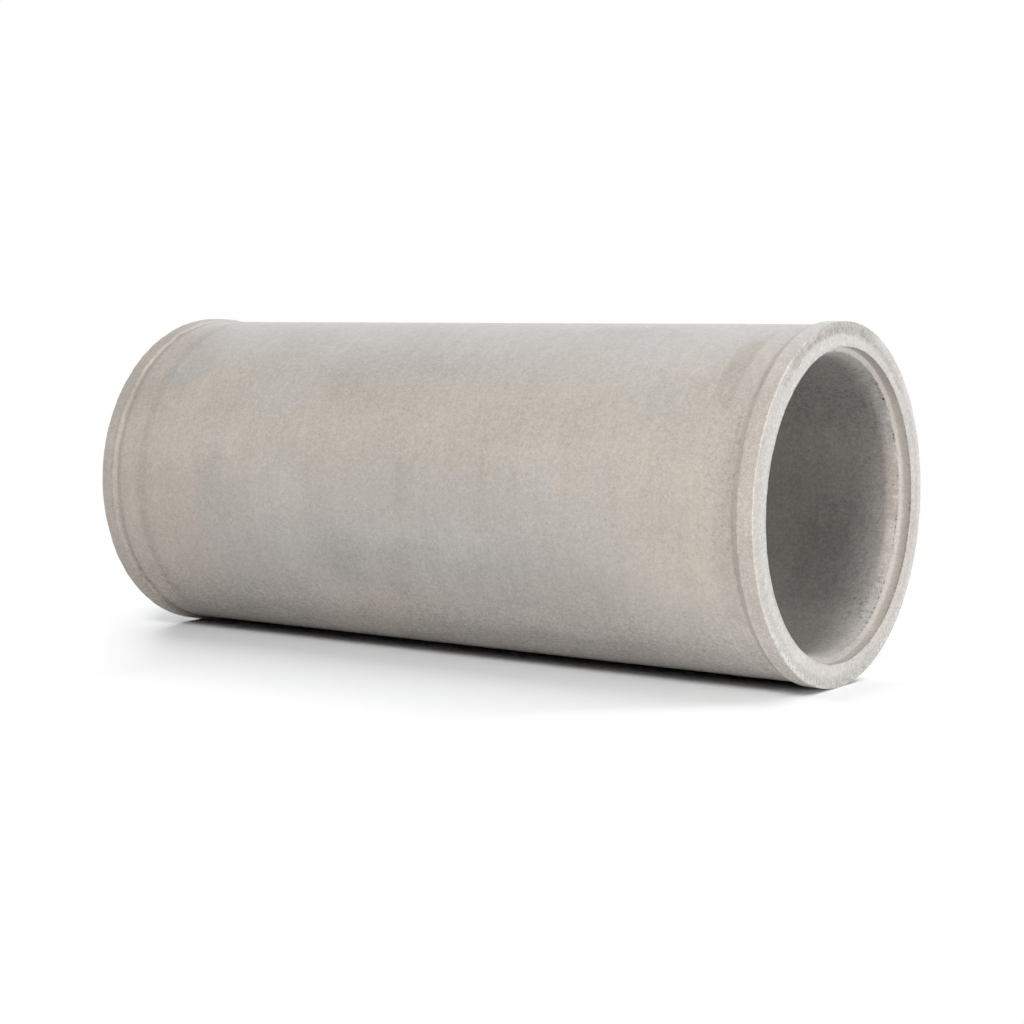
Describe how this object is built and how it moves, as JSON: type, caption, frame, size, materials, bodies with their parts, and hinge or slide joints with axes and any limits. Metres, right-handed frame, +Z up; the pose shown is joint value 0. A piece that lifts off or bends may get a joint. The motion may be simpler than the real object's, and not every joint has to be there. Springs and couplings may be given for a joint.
{
  "type": "concrete sewer pipe",
  "caption": "Straight round concrete pipe with a raised band at both ends, a rebated socket at one end and a short spigot at the other, lying on its side.",
  "frame": {"origin": "on the floor, under the middle of the pipe's overall length", "axes": "+X along the pipe's axis towards the socket end, +Y across it, +Z up"},
  "size_m": [1.012, 0.4278, 0.4279],
  "materials": {
    "concrete": "matt fair-faced concrete, light warm grey with tan and bluish clouding, fine sand grain and a few pinholes"
  },
  "bodies": {
    "root": {"concrete_pipe": "concrete"}
  },
  "joints": []
}
